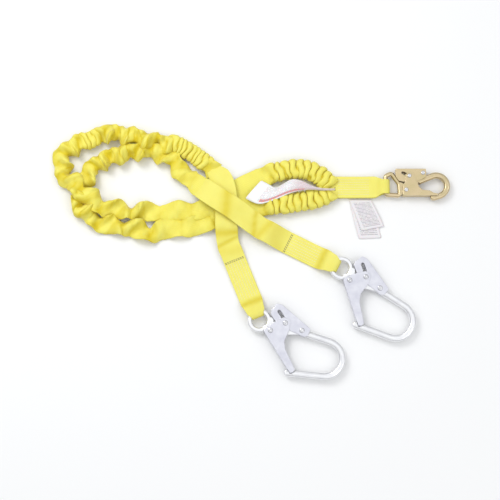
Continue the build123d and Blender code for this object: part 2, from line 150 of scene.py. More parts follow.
def ribs(n, coordinate, per_mm):
    """A smooth row of ribs, 0 to 1, along a coordinate that counts millimetres."""
    wave = n.math("SINE", n.math("MULTIPLY", coordinate, per_mm * 2 * math.pi))
    return n.math("ADD", n.math("MULTIPLY", wave, 0.5), 0.5)


def webbing_material(name, light, deep_shade_yellow, gap):
    """Woven yellow webbing, with shade painted into its colour.  UV counts millimetres: x along the webbing
    and y across it.
    """
    material, n = new_material(name)
    along, across, _ = n.split(n.add("ShaderNodeUVMap", settings={"uv_map": "UVMap"}))
    place = n.add("ShaderNodeTexCoord", output=3)
    warp = ribs(n, across, 0.55)
    weft = ribs(n, n.math("ADD", along, n.math("MULTIPLY", warp, 0.35)), 0.8)
    weave = n.math("MULTIPLY", n.math("ADD", warp, n.math("MULTIPLY", weft, 0.7)), 0.59)
    valley = n.add("ShaderNodeAttribute", output=2, settings={"attribute_name": "fold_shade"})
    # painted shade: ambient occlusion darkens the webbing where folds and other parts hem it in
    cover = n.add("ShaderNodeAmbientOcclusion", output=1, settings={"samples": 6}, Distance=0.014)
    occlusion_shade = n.math("SUBTRACT", 1.0, n.ramp(cover, 0.15, 0.95), clamp=True)
    # painted shade: the webbing's steep sides, facing away from the light overhead, are darker
    _, _, upright = n.split(n.add("ShaderNodeNewGeometry", output=1))
    side_shade = n.math("SUBTRACT", 1.0, n.math("ABSOLUTE", upright), clamp=True)
    blotch = n.ramp(n.noise(place, 30.0, 2.0), 0.35, 0.7)
    shade_and_mottle = n.math("ADD", n.math("MULTIPLY", valley, 0.85), n.math("MULTIPLY", blotch, 0.15), clamp=True)
    shade_and_mottle = n.math("ADD", shade_and_mottle, n.math("MULTIPLY", side_shade, 0.35), clamp=True)
    shade_and_mottle = n.math("ADD", shade_and_mottle, n.math("MULTIPLY", occlusion_shade, 0.6), clamp=True)
    # painted shade with a random mottle: blends the lit yellow into the deeper, shaded yellow
    colour = n.mix(shade_and_mottle, light, deep_shade_yellow)
    # painted shade: the most occluded cusps turn to the dark gap colour
    colour = n.mix(n.math("MULTIPLY", n.math("POWER", occlusion_shade, 3.0), 0.6), colour, gap)
    colour = n.mix(n.math("MULTIPLY", n.math("SUBTRACT", 1.0, weave), 0.16), colour, deep_shade_yellow, "MULTIPLY")
    crumple = n.noise(place, 160.0, 4.0)
    normal = n.bump(crumple, 0.22, 0.0012)
    normal = n.bump(weave, 0.5, 0.00035, normal)
    n.shade(Base_Color=colour, Roughness=0.62, Normal=normal, Sheen_Weight=0.35, Sheen_Roughness=0.4,
            Subsurface_Weight=0.12, Subsurface_Scale=0.004, Subsurface_Radius=(1.0, 0.8, 0.2),
            Specular_IOR_Level=0.35)
    return material


EDGE_WEAR = 0.3                 # how far a worn edge fades to bare metal
BARE_METAL = (0.93, 0.93, 0.92)


def metal_material(name, base, shade, roughness, grain=0.0):
    """Plated steel: mottled plating, fine scuffs, brighter worn edges and an optional rolled grain."""
    material, n = new_material(name)
    place = n.add("ShaderNodeTexCoord", output=3)
    cloud = n.ramp(n.noise(place, 55.0, 4.0), 0.3, 0.72)
    colour = n.mix(cloud, base, shade)
    bevel = n.add("ShaderNodeBevel", settings={"samples": 4}, Radius=0.0012)
    geometry = n.add("ShaderNodeNewGeometry", output=1)
    edge = n.add("ShaderNodeVectorMath", output=1, settings={"operation": "DOT_PRODUCT"})
    dot = edge.node
    n.tree.links.new(bevel, dot.inputs[0])
    n.tree.links.new(geometry, dot.inputs[1])
    worn = n.math("MULTIPLY", n.ramp(edge, 0.995, 0.93), EDGE_WEAR, clamp=True)
    colour = n.mix(worn, colour, BARE_METAL)
    scuff = n.noise(place, 900.0, 3.0)
    stretch = n.add("ShaderNodeMapping", settings={"vector_type": "POINT"},
                    Vector=place, Scale=(60, 1400, 900))
    rolled = n.noise(stretch, 1.0, 2.0)
    rough = n.math("ADD", roughness, n.math("MULTIPLY", n.math("SUBTRACT", scuff, 0.5), 0.16))
    rough = n.math("ADD", rough, n.math("MULTIPLY", n.math("SUBTRACT", rolled, 0.5), grain))
    normal = n.bump(n.noise(place, 240.0, 5.0), 0.10, 0.0006, bevel)
    n.shade(Base_Color=colour, Metallic=1.0, Roughness=rough, Normal=normal)
    return material


def plain_material(name, base, other, roughness, scale):
    """A non-metal with a slight mottle and a fine surface bump."""
    material, n = new_material(name)
    place = n.add("ShaderNodeTexCoord", output=3)
    spots = n.noise(place, scale, 3.0)
    n.shade(Base_Color=n.mix(n.ramp(spots, 0.35, 0.7), base, other), Roughness=roughness,
            Normal=n.bump(n.noise(place, scale * 6, 3.0), 0.15, 0.0003))
    return material


def printed_material(name, paper, ink, stripe=None, shaded=None):
    """A label sheet.  UV runs 0 to 1 over it; the print is grey rules and blocks, with no lettering."""
    material, n = new_material(name)
    along, across, _ = n.split(n.add("ShaderNodeUVMap", settings={"uv_map": "UVMap"}))

    def band(value, low, high):
        return n.math("MULTIPLY", n.math("GREATER_THAN", value, low), n.math("LESS_THAN", value, high))

    line = n.math("MULTIPLY", across, 22.0)
    rows = n.math("GREATER_THAN", n.math("FRACT", line), 0.5)
    cells = n.math("MULTIPLY", n.math("FLOOR", line), 7.31)
    words = n.noise(n.add("ShaderNodeCombineXYZ", X=n.math("MULTIPLY", along, 48.0), Y=cells), 1.0, 1.0)
    marks = n.math("MULTIPLY", rows, n.math("GREATER_THAN", words, 0.42))
    page = n.math("MULTIPLY", band(along, 0.14, 0.88), band(across, 0.1, 0.92))
    marks = n.math("MULTIPLY", n.math("MULTIPLY", marks, page), 0.6)
    # painted shade: the label's half near the harness end is painted pinkish grey, as in shadow
    if shaded:
        paper = n.mix(n.ramp(along, 0.42, 0.56), shaded, paper)
    colour = n.mix(marks, paper, ink)
    if stripe:
        dashes = n.math("GREATER_THAN", n.math("FRACT", n.math("MULTIPLY", along, 26.0)), 0.45)
        red = n.math("MULTIPLY", band(across, 0.10, 0.24), band(along, 0.34, 0.86))
        colour = n.mix(red, colour, stripe)
        dark = n.math("MULTIPLY", n.math("MULTIPLY", band(across, 0.14, 0.20), dashes), red)
        colour = n.mix(dark, colour, ink)
    n.shade(Base_Color=colour, Roughness=0.42, Subsurface_Weight=0.1, Subsurface_Scale=0.002)
    return material


# each webbing takes a lit yellow, a deeper shaded yellow and a dark painted-shade colour for its deepest gaps
YELLOW = webbing_material("webbing_yellow", (0.92, 0.86, 0.17), (0.74, 0.60, 0.012), (0.38, 0.28, 0.01))
FLAT_YELLOW = webbing_material("webbing_flat", (0.92, 0.86, 0.20), (0.74, 0.60, 0.015), (0.38, 0.28, 0.01))
THREAD = plain_material("thread_grey", (0.30, 0.27, 0.20), (0.18, 0.16, 0.12), 0.7, 400.0)
PALE_THREAD = plain_material("thread_pale", (0.93, 0.90, 0.66), (0.84, 0.79, 0.50), 0.7, 400.0)
CORE = plain_material("core_cream", (0.82, 0.78, 0.62), (0.7, 0.64, 0.46), 0.8, 300.0)
ELASTIC = plain_material("elastic_black", (0.05, 0.05, 0.05), (0.09, 0.09, 0.09), 0.6, 300.0)
ZINC_GOLD = metal_material("zinc_gold", (0.76, 0.61, 0.38), (0.66, 0.55, 0.30), 0.30)
FORGED = metal_material("forged_silver", (0.97, 0.97, 0.98), (0.88, 0.88, 0.91), 0.34)
STAMPED = metal_material("stamped_silver", (0.82, 0.82, 0.88), (0.68, 0.68, 0.76), 0.33, grain=0.05)
RIVET = metal_material("rivet_polished", (0.80, 0.80, 0.82), (0.62, 0.62, 0.65), 0.22)
SPRING = metal_material("spring_wire", (0.34, 0.34, 0.36), (0.25, 0.25, 0.27), 0.32)
# the label's last colour is the painted shade on its half near the harness end
LABEL = printed_material("label_print", (0.93, 0.92, 0.93), (0.45, 0.38, 0.40), (0.80, 0.28, 0.28),
                         (0.80, 0.69, 0.70))
TAG = printed_material("tag_print", (0.84, 0.79, 0.81), (0.26, 0.23, 0.26))

NODE_LOOKS = [
    ("rivet", RIVET), ("lock_pin", RIVET), ("spring", SPRING), ("snap_hook_", ZINC_GOLD),
    ("_body", FORGED), ("_gate", STAMPED), ("_lock_lever", STAMPED), ("core", CORE), ("elastic", ELASTIC),
]


def dress_nodes():
    """Gives each carried-over CAD node its material."""
    for name, node in frame["nodes"].items():
        look = next((material for part, material in NODE_LOOKS if part in name), None)
        if look is None:
            continue
        if not node.material_slots:
            node.data.materials.append(look)
        for slot in node.material_slots:
            slot.material = look


# ---------------------------------------------------------------- curves and section sweeps
SPAN_SAMPLES = 40               # samples of each span of a curve, before they are spaced evenly


def distances(points):
    """Distance along a line of points, from its start to each point."""
    return np.concatenate([[0], np.cumsum(np.linalg.norm(np.diff(points, axis=0), axis=1))])


def smooth_curve(points, step):
    """A Catmull-Rom curve through rows of values, at even distances along its first three columns."""
    points = np.array(points, float)
    ends = np.vstack([2 * points[0] - points[1], points, 2 * points[-1] - points[-2]])
    fine = []
    for p0, p1, p2, p3 in zip(ends, ends[1:], ends[2:], ends[3:]):
        t = np.linspace(0, 1, SPAN_SAMPLES, endpoint=False)[:, None]
        fine.append(0.5 * (2 * p1 + (p2 - p0) * t + (2 * p0 - 5 * p1 + 4 * p2 - p3) * t ** 2
                           + (3 * p1 - p0 - 3 * p2 + p3) * t ** 3))
    fine = np.vstack(fine + [points[-1:]])
    run = distances(fine[:, :3])
    count = max(3, int(run[-1] / step) + 1)
    even = np.linspace(0, run[-1], count)
    return even, np.stack([np.interp(even, run, column) for column in fine.T], axis=1)


def blurred(values, width):
    """Values along a curve, smoothed over a number of samples."""
    reach = max(1, int(width * 2.5))
    kernel = np.exp(-0.5 * (np.arange(-reach, reach + 1) / width) ** 2)
    kernel /= kernel.sum()
    padded = np.pad(values, [(reach, reach)] + [(0, 0)] * (values.ndim - 1), mode="edge")
    if values.ndim == 1:
        return np.convolve(padded, kernel, mode="valid")
    return np.stack([np.convolve(column, kernel, mode="valid") for column in padded.T], axis=1)


def wander(x, scale, seed):
    """Smooth noise between about -1 and 1 along x, the same on every run."""
    rng = np.random.default_rng(seed)
    total = np.zeros_like(x)
    for octave in range(4):
        turn = rng.uniform(0, 2 * math.pi)
        total += np.sin(x / scale * 2 * math.pi * 1.63 ** octave + turn) / (1 + 0.6 * octave)
    return total / 2.2


def level_frames(points, side=None):
    """Tangents, level side vectors and up vectors along a curve."""
    tangent = np.gradient(points, axis=0)
    tangent /= np.linalg.norm(tangent, axis=1)[:, None]
    if side is None:
        side = np.cross(tangent, [0, 0, 1.0])
        side /= np.linalg.norm(side, axis=1)[:, None]
    up = np.cross(side, tangent)
    return tangent, side, up


def grid_mesh(name, rings, uv_along, uv_across, material, fold_shade=None, closed=True, levels=1):
    """A mesh from rings of points in millimetres: rows along the piece, columns round it."""
    rows, columns = rings.shape[:2]
    count = columns if closed else columns - 1
    faces = []
    uvs = []
    for i in range(rows - 1):
        for j in range(count):
            k = (j + 1) % columns
            faces.append((i * columns + j, i * columns + k, (i + 1) * columns + k, (i + 1) * columns + j))
            edge = uv_across[k] if k else uv_across[j] * 2 - uv_across[j - 1]
            uvs += [(uv_along[i], uv_across[j]), (uv_along[i], edge),
                    (uv_along[i + 1], edge), (uv_along[i + 1], uv_across[j])]
    if closed:
        for row, order in ((0, range(columns - 1, -1, -1)), (rows - 1, range(columns))):
            faces.append(tuple(row * columns + j for j in order))
            uvs += [(uv_along[row], uv_across[j]) for j in order]
    mesh = bpy.data.meshes.new(name)
    mesh.from_pydata((rings.reshape(-1, 3) * MM).tolist(), [], faces)
    layer = mesh.uv_layers.new(name="UVMap")
    layer.data.foreach_set("uv", np.array(uvs, np.float32).ravel())
    # fold_shade is painted shade for the webbing materials: how far each point is darkened, zero where none
    # is given
    values = np.zeros(rows * columns, np.float32) if fold_shade is None else fold_shade.astype(np.float32).ravel()
    mesh.attributes.new("fold_shade", "FLOAT", "POINT").data.foreach_set("value", values)
    mesh.materials.append(material)
    mesh.polygons.foreach_set("use_smooth", [True] * len(mesh.polygons))
    mesh.validate()
    piece = bpy.data.objects.new(name, mesh)
    bpy.context.scene.collection.objects.link(piece)
    if levels:
        soften = piece.modifiers.new("Subdivision", "SUBSURF")
        soften.levels = soften.render_levels = levels
    return piece


# ---------------------------------------------------------------- gathered tubular webbing
FLOOR_CLEARANCE = 0.4           # lowest that gathered webbing may hang, in millimetres
JACKET_FLAT_WIDTH = 44          # the jacket's width when it is not gathered

# How a stretch of webbing is gathered: width, thickness, height and length of its slow waves, and
# height and length of its ruffles.  All are millimetres except the wave height, which is a share: 1 rolls
# the webbing by about 35 degrees.
STYLES = {
    "flat": (45, 5.0, 0.0, 60, 0.0, 14),
    "ribbon": (40, 7.0, 0.45, 66, 0.4, 22),
    "wavy": (38, 9.0, 0.9, 60, 0.8, 24),
    "folded": (38, 14.0, 1.0, 48, 1.6, 20),
    "lumpy": (37, 19.0, 1.0, 40, 2.8, 15),
    "tight": (36, 17.0, 0.12, 40, 3.6, 10.5),
    "gather": (39, 20.0, 0.0, 60, 4.6, 14.0),
}


def styled(points):
    """Rows of x, y, z and style numbers from (x, y, z, style name)."""
    return [(x, y, z, *STYLES[style]) for x, y, z, style in points]


def gathered_tube(name, points, seed, step=1.25, columns=36):
    """Tubular webbing gathered over its core: slow rolls and waves, with ruffles across it."""
    run, rows = smooth_curve(styled(points), step)
    centre = blurred(rows[:, :3], 4)
    centre[0], centre[-1] = rows[0, :3], rows[-1, :3]
    width, thick, wave, wave_length, ruffle, ruffle_length = blurred(rows[:, 3:], 5).T
    tangent, side, up = level_frames(centre)

    pace = 1 + 0.28 * wander(run, 90, seed + 1)
    wave_phase = np.cumsum(2 * math.pi * step / wave_length * pace)
    ruffle_pace = 1 + 0.34 * wander(run, 34, seed + 2)
    ruffle_phase = np.cumsum(2 * math.pi * step / ruffle_length * ruffle_pace)

    roll = wave * (0.62 * np.sin(wave_phase) + 0.25 * wander(run, 75, seed + 3))
    sway = wave * 4.5 * np.sin(wave_phase + 1.1) + wave * 2.0 * wander(run, 50, seed + 4)
    lift = wave * 1.6 * np.sin(wave_phase * 0.5 + 0.4)
    lobe = np.abs(np.sin(wave_phase * 0.5 + 1.1)) ** 0.6
    wide = width * (1 + wave * (0.5 * lobe - 0.34) + 0.06 * wave * wander(run, 28, seed + 5))
    tall = thick * (1 + wave * (0.7 * lobe - 0.4))

    turn = np.linspace(0, 2 * math.pi, columns, endpoint=False)
    cos, sin = np.cos(turn)[None, :], np.sin(turn)[None, :]
    across = np.sign(cos) * np.abs(cos) ** 0.8 * wide[:, None] / 2
    upward = np.sign(sin) * np.abs(sin) ** 0.85 * tall[:, None] / 2
    # a slow S bend across the flat of the webbing, so that it never lies like a plank
    upward = upward + wave[:, None] * 3.4 * np.sin(across / wide[:, None] * 2 * math.pi
                                                   + wave_phase[:, None] * 0.7)

    skew = 1.5 * np.sin(turn + seed)[None, :] + 1.0 * np.sin(2 * turn + 1.3 * seed)[None, :]
    skew = skew * (1 + 0.8 * wander(run, 30, seed + 6))[:, None]
    drift = 0.75 * np.sin(across * 0.21 + run[:, None] * 0.13 + seed)
    phase = ruffle_phase[:, None] + skew + drift
    ridge = np.abs(np.sin(phase / 2)) ** 0.95
    second = np.abs(np.sin(phase * 0.5 + 1.1 * np.sin(turn + 2.0)[None, :])) ** 1.1
    share = 0.5 + 0.5 * np.sin(3 * turn[None, :] + run[:, None] * 0.09 + seed)
    ridge = ridge * (1 - 0.35 * share) + second * 0.35 * share
    each = 0.72 + 0.34 * wander(np.floor(phase / (2 * math.pi)) * 7.0 + 3.0, 23.0, seed + 7)
    height = ruffle[:, None] * each
    out = height * (ridge - 0.55) * 2.0
    lean = -height * 0.55 * np.sin(phase) * (0.6 + 0.4 * np.sin(turn)[None, :])

    flat = np.stack([cos * tall[:, None], sin * wide[:, None]], axis=-1)
    flat /= np.linalg.norm(flat, axis=-1, keepdims=True)
    across = across + out * flat[..., 0] * 0.8
    upward = upward + out * flat[..., 1]

    tilt_cos, tilt_sin = np.cos(roll)[:, None], np.sin(roll)[:, None]
    level = across * tilt_cos - upward * tilt_sin + sway[:, None]
    high = across * tilt_sin + upward * tilt_cos + lift[:, None]
    rings = (centre[:, None, :] + level[..., None] * side[:, None, :] + high[..., None] * up[:, None, :]
             + lean[..., None] * tangent[:, None, :])
    crisp = rings.reshape(len(run), -1)
    soft = blurred(crisp, 2.2)
    loose = np.clip(wave, 0, 1)[:, None]
    rings = (crisp * (1 - loose) + soft * loose).reshape(rings.shape)
    below = np.maximum(0, FLOOR_CLEARANCE - rings[..., 2].min(axis=1))
    rings[..., 2] += np.maximum(below, blurred(below, 7))[:, None]

    gathering = 1 + 2.2 * ruffle / ruffle_length
    uv_along = np.cumsum(step * gathering)
    uv_across = turn / (2 * math.pi) * 2 * JACKET_FLAT_WIDTH
    # painted shade: fold_shade darkens the webbing in the ruffles' creases, where its lobes pinch to a waist,
    # and in broad bands along its slow waves
    crease_shade = np.clip((0.62 - ridge) * 1.6, 0, 1) * np.clip(height / 2.5, 0, 1)
    waist_shade = np.clip(1 - 1.5 * lobe, 0, 1)[:, None] * loose
    wave_band_shade = np.clip(0.5 + 0.9 * np.sin(wave_phase[:, None] * 1.5 + 0.12 * across), 0, 1)
    fold_shade = np.clip(crease_shade + 0.75 * waist_shade + 0.55 * wave_band_shade * loose, 0, 1)
    piece = grid_mesh(name, rings, uv_along, uv_across, YELLOW, fold_shade)
    return piece, rings.mean(axis=1)


# Centre lines of the legs in millimetres, with the style of webbing at each point.
LEG_B_GATHER = [(158, 137, 12, "flat"), (150, 147, 13, "gather"), (134, 162, 13, "gather"),
                (105, 174, 13, "gather"), (74, 174, 13, "gather"), (48, 168, 11, "gather"),
                (34, 165, 9, "wavy"), (18, 158, 7, "flat"), (8, 153, 6, "flat")]
LEG_A_GATHER = [(158, 130, 12, "flat"), (150, 123, 13, "gather"), (129, 113, 13, "gather"),
                (95, 106, 13, "gather"), (64, 102, 13, "gather"), (36, 99, 10, "gather"),
                (22, 98, 8, "wavy"), (8, 99, 6, "flat"), (-2, 100, 6, "flat")]
LEG_B = [(17, 157, 7, "flat"), (-18, 141, 6, "flat"), (-49, 122, 5, "flat"), (-80, 103, 6, "flat"),
         (-110, 90, 8, "ribbon"), (-151, 87, 8, "ribbon"), (-192, 83, 8, "ribbon"),
         (-233, 85, 8, "wavy"), (-274, 88, 10, "wavy"), (-305, 93, 17, "wavy"), (-332, 107, 24, "wavy"),
         (-356, 128, 25, "folded"), (-377, 147, 20, "folded"), (-394, 170, 12, "folded"),
         (-396, 195, 11, "folded"), (-384, 216, 11, "folded"), (-364, 229, 11, "lumpy"),
         (-336, 239, 11, "tight"), (-305, 250, 12, "lumpy"), (-264, 246, 12, "lumpy"),
         (-223, 238, 12, "lumpy"), (-192, 229, 11, "folded"), (-162, 228, 11, "tight"),
         (-131, 211, 11, "tight"), (-104, 190, 12, "tight"), (-90, 178, 12.5, "wavy"), (-80, 168, 12, "flat")]
LEG_A = [(8, 99, 6, "flat"), (-18, 101, 6, "flat"), (-45, 93, 6, "flat"), (-74, 76, 6, "ribbon"),
         (-100, 61, 7, "ribbon"), (-131, 54, 8, "ribbon"), (-172, 50, 8, "ribbon"),
         (-213, 40, 8, "wavy"), (-238, 46, 8, "wavy"), (-264, 56, 8, "folded"), (-291, 55, 8, "wavy"),
         (-320, 66, 8, "wavy"), (-347, 84, 9, "lumpy"), (-361, 107, 9, "lumpy"), (-355, 132, 8, "folded"),
         (-345, 157, 9, "folded"), (-331, 176, 10, "folded"), (-309, 194, 10, "lumpy"),
         (-279, 205, 10, "lumpy"), (-250, 211, 10, "lumpy"), (-217, 212, 9, "folded"),
         (-190, 208, 9, "wavy"), (-168, 194, 9, "folded"), (-150, 173, 10, "wavy"),
         (-130, 152, 15, "ribbon"), (-107, 132, 24, "flat")]


def core_ribbon(name, middle, rise, width, thick, material):
    """A plain inner strand that follows the middle of the jacket."""
    run, centre = smooth_curve(middle[4:-4:3], 4)
    centre[:, 2] += rise
    _, side, up = level_frames(centre)
    turn = np.linspace(0, 2 * math.pi, 12, endpoint=False)
    across = np.cos(turn)[None, :, None] * side[:, None, :] * width / 2
    upward = np.sin(turn)[None, :, None] * up[:, None, :] * thick / 2
    rings = centre[:, None, :] + across + upward
    return grid_mesh(name, rings, run, turn * width, material, levels=0)


def build_legs():
    legs = {"leg_a": (LEG_A, LEG_A_GATHER, 5), "leg_b": (LEG_B, LEG_B_GATHER, 11)}
    for leg, (points, gather, seed) in legs.items():
        jacket, middle = gathered_tube(f"{leg}_jacket_cloth", points, seed)
        sleeve, inside = gathered_tube(f"{leg}_gather_cloth", gather, seed + 20, step=1.0, columns=44)
        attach(jacket, "legs")
        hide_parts(f"{leg}_jacket")
        for part, rise, width, thick, material in (("core", -0.2, 3.6, 0.8, CORE),
                                                   ("elastic", 0.4, 1.4, 0.7, ELASTIC)):
            strand = core_ribbon(f"{leg}_{part}_strand", middle, rise, width, thick, material)
            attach(strand, "legs")
            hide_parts(f"{leg}_{part}")
            inner = core_ribbon(f"{leg}_gather_{part}_strand", inside, rise, width, thick, material)
            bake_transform(inner)
            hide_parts(f"{leg}_gather_{part}")
        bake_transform(sleeve)
        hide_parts(f"{leg}_gather")


# ---------------------------------------------------------------- flat webbing
WEBBING = 46.0                  # width of flat webbing
LAYER = 2.6                     # one layer of webbing
SHOULDER_WIDTH = 38.0           # an end strap where it meets the hook's eye
EYE_WIDTH = 25.0                # an end strap bunched up inside the eye


def webbing_section(columns=28):
    """Rounded flat section of unit width and thickness: its across values and its up values."""
    turn = np.linspace(0, 2 * math.pi, columns, endpoint=False)
    cos, sin = np.cos(turn), np.sin(turn)
    across = np.sign(cos) * np.abs(cos) ** 0.28
    upward = np.sign(sin) * np.abs(sin) ** 0.5
    return across / 2, upward / 2


def webbing_band(name, centre, side, width, thick, creases=()):
    """Flat webbing swept along a curve, with a width for each sample and soft creases across it: each crease
    dips the surface and is darkened with painted shade.
    """
    run = distances(centre)
    _, side, up = level_frames(centre, side)
    across, upward = webbing_section()
    level = across[None, :] * width[:, None]
    lifted = upward[None, :] * thick
    fold_shade = np.zeros_like(level)
    for place, spread, depth, slant in creases:
        near = np.exp(-0.5 * ((run[:, None] - place - slant * level) / spread) ** 2)
        # painted shade: each crease darkens the webbing along it
        fold_shade = np.maximum(fold_shade, depth * near)
        lifted = lifted - 0.9 * depth * near
    rings = centre[:, None, :] + level[..., None] * side[:, None, :] + lifted[..., None] * up[:, None, :]
    return grid_mesh(name, rings, run, across * WEBBING, FLAT_YELLOW, fold_shade)


def eased(value):
    value = np.clip(value, 0, 1)
    return value * value * (3 - 2 * value)


def strap_path(lead, flex, bar, heading, lap):
    """Points of an end strap: over the crossing, along to the hook, round its eye and back under itself."""
    reach = np.linalg.norm((bar - flex)[:2])
    floor = LAYER * 1.5 + 0.5
    top = [flex + heading * d + [0, 0, z] for d, z in (
        (0, 0), (reach * 0.12, -0.5), (reach * 0.34, (floor - flex[2]) * 0.93),
        (reach * 0.5, floor - flex[2]), (reach * 0.78, floor - flex[2]),
        (reach - 14, bar[2] + 4.8 - flex[2]))]
    turn = [bar + heading * d + [0, 0, z] for d, z in (
        (-4, 6.5), (5, 6.5), (11.5, 4.0), (13.4, 0), (11, -3.8), (4, -6.3), (-4, -6.6))]
    back = [flex + heading * d + [0, 0, z - flex[2]] for d, z in (
        (reach - 16, LAYER * 0.5 + 1.2), (reach * 0.78, LAYER * 0.5 + 0.3), (lap, LAYER * 0.5 + 0.3))]
    return list(lead) + top + turn + back


def end_strap(letter, lead, lap, waves):
    """Crossing, end strap and eye loop in one length of webbing, bent at the strap's flex line."""
    flex, bar = joint_at(f"strap_{letter}_flex"), joint_at(f"hook_{letter}_swing")
    heading = strap_heading(f"strap_{letter}_flex")
    points = strap_path(lead, flex, bar, heading, lap)
    run, centre = smooth_curve(points, 2.0)
    centre = blurred(centre, 1.2)
    reach = np.linalg.norm((bar - flex)[:2])
    along = (centre - flex) @ heading
    plan = np.gradient(centre, axis=0)
    plan[:, 2] = 0
    plan /= np.maximum(np.linalg.norm(plan, axis=1), 1e-9)[:, None]
    free = np.cross(plan, [0, 0, 1.0])
    fixed = np.cross(heading, [0, 0, 1.0])
    share = eased((along + 30) / 30)[:, None]
    past = np.arange(len(run)) > np.argmax(along > 5)
    share[past] = 1.0
    side = free * (1 - share) + fixed * share
    side /= np.linalg.norm(side, axis=1)[:, None]
    for place, height, spread in waves:
        swell = height * np.exp(-0.5 * ((run - place) / spread) ** 2)
        centre[:, 2] += swell * ~past
    tapered = eased((along - (reach - 24)) / 22)
    folded = eased((along - (reach + 1)) / 8)
    width = WEBBING * (1 - tapered) + SHOULDER_WIDTH * tapered
    width = width * (1 - folded) + EYE_WIDTH * folded
    returning = run > run[np.argmax(along)]
    under = SHOULDER_WIDTH + (EYE_WIDTH - SHOULDER_WIDTH) * eased((along - (reach - 30)) / 14)
    under = under + 7.0 * (along < reach - 30)
    width = np.where(returning, np.minimum(width - 0.8, under), width)
    width = blurred(width, 1.5) * (0.66 + 0.34 * eased(run / 26))
    return run, centre, side, width, flex, heading, reach


def top_face(centre, base, heading):
    """Height of a strap's upper face as a function of the distance from its base, along its heading."""
    along = (centre - base) @ heading
    last = np.argmax(along)
    reach, height = along[:last], centre[:last, 2] + LAYER * 0.5 + 0.05
    order = np.argsort(reach)
    return lambda distance: np.interp(distance, reach[order], height[order])


def build_straps():
    straps = {
        "a": ([(-122, 146, 17), (-104, 131, 26), (-78, 112, 31), (-47, 92, 32), (-20, 73, 28)], 63,
              [(70, 2.0, 16), (100, 1.6, 10)],
              [(-84, 9, 0.8, 0.5), (-14, 4.5, 0.75, 0.45), (9, 6, 0.6, -0.3), (40, 12, 0.3, 0.4)]),
        "b": ([(-86, 176, 13), (-76, 164, 17), (-64, 146, 20), (-58, 118, 22), (-56, 88, 22), (-56, 52, 19)],
              35, [(125, 1.5, 8)],
              [(-24, 6, 0.8, -0.1), (-6, 3.5, 0.7, 0.15), (14, 8, 0.35, -0.2)]),
    }
    for letter, (lead, lap, waves, creases) in straps.items():
        run, centre, side, width, flex, heading, reach = end_strap(letter, lead, lap, waves)
        origin = run[np.argmin(np.linalg.norm(centre - flex, axis=1))]
        # each crease dips the strap and paints shade across it; the last one is a band of painted shade near
        # where the strap narrows towards the hook
        marks = [(origin + place, spread, depth, slant) for place, spread, depth, slant in creases]
        marks.append((origin + reach - 20, 6, 0.6, 0.0))
        band = webbing_band(f"leg_{letter}_strap_webbing", centre, side, width, LAYER, marks)
        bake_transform(band)
        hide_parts(f"leg_{letter}_crossover", f"leg_{letter}_end_strap")
        across, along = stitch_lines(lap, reach - 30, WEBBING)
        base = flex * [1, 1, 0]
        face = top_face(centre, base, heading)
        threads = stitches(f"leg_{letter}_stitch_thread", base, heading, across, face, THREAD, size=0.9)
        rows = stitches(f"leg_{letter}_row_thread", base, heading, along, face, PALE_THREAD, size=0.8)
        for piece in (threads, rows):
            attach(piece, f"strap_{letter}")
        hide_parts(f"leg_{letter}_stitching")


# ---------------------------------------------------------------- stitching
STITCH_LENGTH, STITCH_GAP = 3.4, 1.2
STITCH_PROFILE = [(-0.5, 0.0), (-0.32, 0.8), (0.32, 0.8), (0.5, 0.0)]     # (along, rise), as shares
STITCH_SECTION = [(-1, -0.4), (-0.7, 0.6), (0.7, 0.6), (1, -0.4)]         # (across, up), as shares


def stitch_lines(start, end, width):
    """Rows of stitches on a doubled strap: (two across its lap, several along it)."""
    across = [((start + gap, -width * 0.47), (start + gap, width * 0.47)) for gap in (0.0, 2.6)]
    along = [((start + 5, y), (end, y)) for y in np.linspace(-width * 0.36, width * 0.36, 7)]
    return across, along


def stitches(name, origin, heading, lines, face, material, size):
    """Short lengths of thread lying on webbing, along each line; face(x) is the webbing's height."""
    side = np.cross([0, 0, 1.0], heading)
    verts, faces = [], []
    pitch = STITCH_LENGTH + STITCH_GAP
    for (x0, y0), (x1, y1) in lines:
        a = origin + heading * x0 + side * y0
        b = origin + heading * x1 + side * y1
        way = (b - a) / np.linalg.norm(b - a)
        cross = np.cross([0, 0, 1.0], way)
        for k in range(int(np.linalg.norm(b - a) / pitch)):
            start = a + way * (k * pitch + STITCH_GAP / 2)
            first = len(verts)
            for along, rise in STITCH_PROFILE:
                middle = start + way * ((along + 0.5) * STITCH_LENGTH)
                top = face((middle - origin) @ heading)
                for across, up in STITCH_SECTION:
                    height = np.array([0, 0, top + size * rise * up])
                    verts.append(middle + cross * across * size * 0.6 + height)
            for row in range(3):
                for j in range(4):
                    here, beside = first + row * 4 + j, first + row * 4 + (j + 1) % 4
                    faces.append((here, beside, beside + 4, here + 4))
    mesh = bpy.data.meshes.new(name)
    mesh.from_pydata((np.array(verts) * MM).tolist(), [], faces)
    mesh.materials.append(material)
    mesh.polygons.foreach_set("use_smooth", [True] * len(mesh.polygons))
    piece = bpy.data.objects.new(name, mesh)
    bpy.context.scene.collection.objects.link(piece)
    return piece


